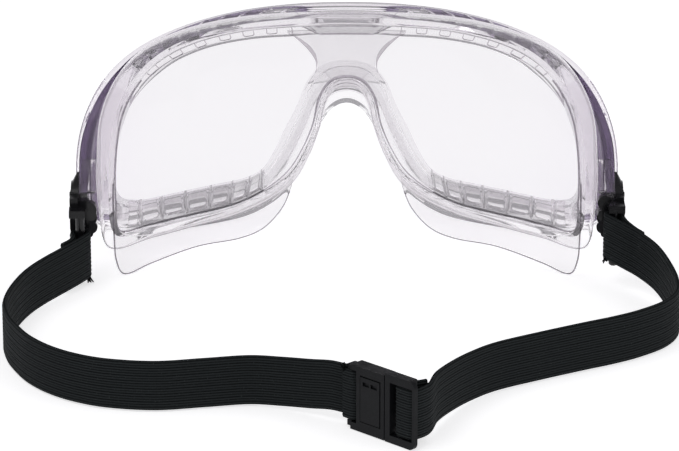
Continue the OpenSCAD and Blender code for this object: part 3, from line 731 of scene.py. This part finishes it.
def webbing(path, name, cad, body):
    """Flat strap swept along path, with its UVs in metres."""
    prof = web_profile()
    n, last = len(prof), len(path) - 1
    verts, uv = [], []
    length, before = 0.0, None
    for t in spread(0, last, last * 14):
        c = open_at(path, t)
        d = open_at(path, min(last, t + 0.05)) - open_at(path, max(0, t - 0.05))
        s = Vector((d.y, -d.x, 0)).normalized()
        if before is not None:
            length += (c - before).length
        before = c
        around = 0.0
        for k, (o, z) in enumerate(prof):
            if k:
                around += math.hypot(o - prof[k - 1][0], z - prof[k - 1][1])
            p = c + s * o
            verts.append(row_point(p.x, p.y, c.z + z))
            uv.append((length * MM, around * MM))
    end = len(verts) - n
    faces = [(r + k, r + (k + 1) % n, r + n + (k + 1) % n, r + n + k) for r in range(0, end, n) for k in range(n)]
    faces += [tuple(range(n)), tuple(end + k for k in reversed(range(n)))]
    o = new_object(name, verts, faces, MAT_WEB, body, uv=uv, sharp=70)
    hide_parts(cad)
    return o


webbing(LEFT, "webbing_left", "strap_left", "headband")
web_right = webbing(RIGHT, "webbing_right", "strap_right", None)
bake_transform(web_right)

random.seed(7)


def near(reach):
    """Random offset of up to reach along each axis."""
    return Vector([random.uniform(-reach, reach) for _ in range(3)])


def fray(x, y, z, dx, dy, dz):
    """A few loose ends of cord that stand out of the webbing's cut end, clear of the floor."""
    hairs = []
    for k in range(7):
        p = Vector((x, y, z)) + near(0.5)
        d = Vector((dx, dy, dz)) + near(0.6)
        bend = near(0.5)
        line = [p + d * g + bend * g * g for g in spread(0, 1, 5)]
        hairs.append([(row_point(q.x, q.y, max(0.6, q.z)), 0.35 - 0.15 * g / 5) for g, q in enumerate(line)])
    return hairs


top_of_buckle = from_buckle(-16.2, -1.9, 17.4)
o = threads("frayed_ends", fray(82.9, 26.4, 2.8, -0.6, 0.4, -1.6) + fray(-83, 26.4, 9, 0.8, 0.4, -1.2)
            + fray(*top_of_buckle, 0.5, -0.3, 1.8), MAT_WEB, "headband")

# ---------------------------------------------------------------- stage, light and camera
bpy.ops.mesh.primitive_plane_add(size=8, location=(0, 0, -0.0001))
floor = bpy.context.object
floor.name = "floor"
pale, _, pale_bsdf = material("floor_pale")
put(pale_bsdf, {"Base Color": (0.84, 0.84, 0.845, 1), "Roughness": 0.9, "Emission Color": (1, 1, 1, 1),
                "Emission Strength": 0.6, "Specular IOR Level": 0})
floor.data.materials.append(pale)

world = bpy.data.worlds.new("studio")
bpy.context.scene.world = world
world.use_nodes = True
put(world.node_tree.nodes["Background"], {"Color": (0.97, 0.96, 1, 1), "Strength": 0.42})
bpy.context.scene.view_settings.view_transform = "Standard"


def lamp(name, where, size, power):
    """Soft square light that looks at the goggles."""
    data = bpy.data.lights.new(name, "AREA")
    data.size = size
    data.energy = power
    o = bpy.data.objects.new(name, data)
    bpy.context.scene.collection.objects.link(o)
    o.location = where
    o.rotation_euler = (Vector((0, 0, 0.03)) - Vector(where)).to_track_quat("-Z", "Y").to_euler()


lamp("key", (0.5, 0.4, 1.2), 0.8, 3.2)
lamp("fill", (-0.9, 0.3, 0.7), 0.8, 1.6)

AIM = row_point(2.4, 12, 15.1)
ELEV = math.radians(18)
DISTANCE = 1.25  # in metres, like the lamps' places
cam_data = bpy.data.cameras.new("camera")
cam_data.lens = 205.4
cam_data.sensor_width = 36
cam = bpy.data.objects.new("camera", cam_data)
bpy.context.scene.collection.objects.link(cam)
cam.location = AIM + DISTANCE * Vector((0, math.cos(ELEV), math.sin(ELEV)))
cam.rotation_euler = (AIM - cam.location).to_track_quat("-Z", "Y").to_euler()
bpy.context.scene.camera = cam
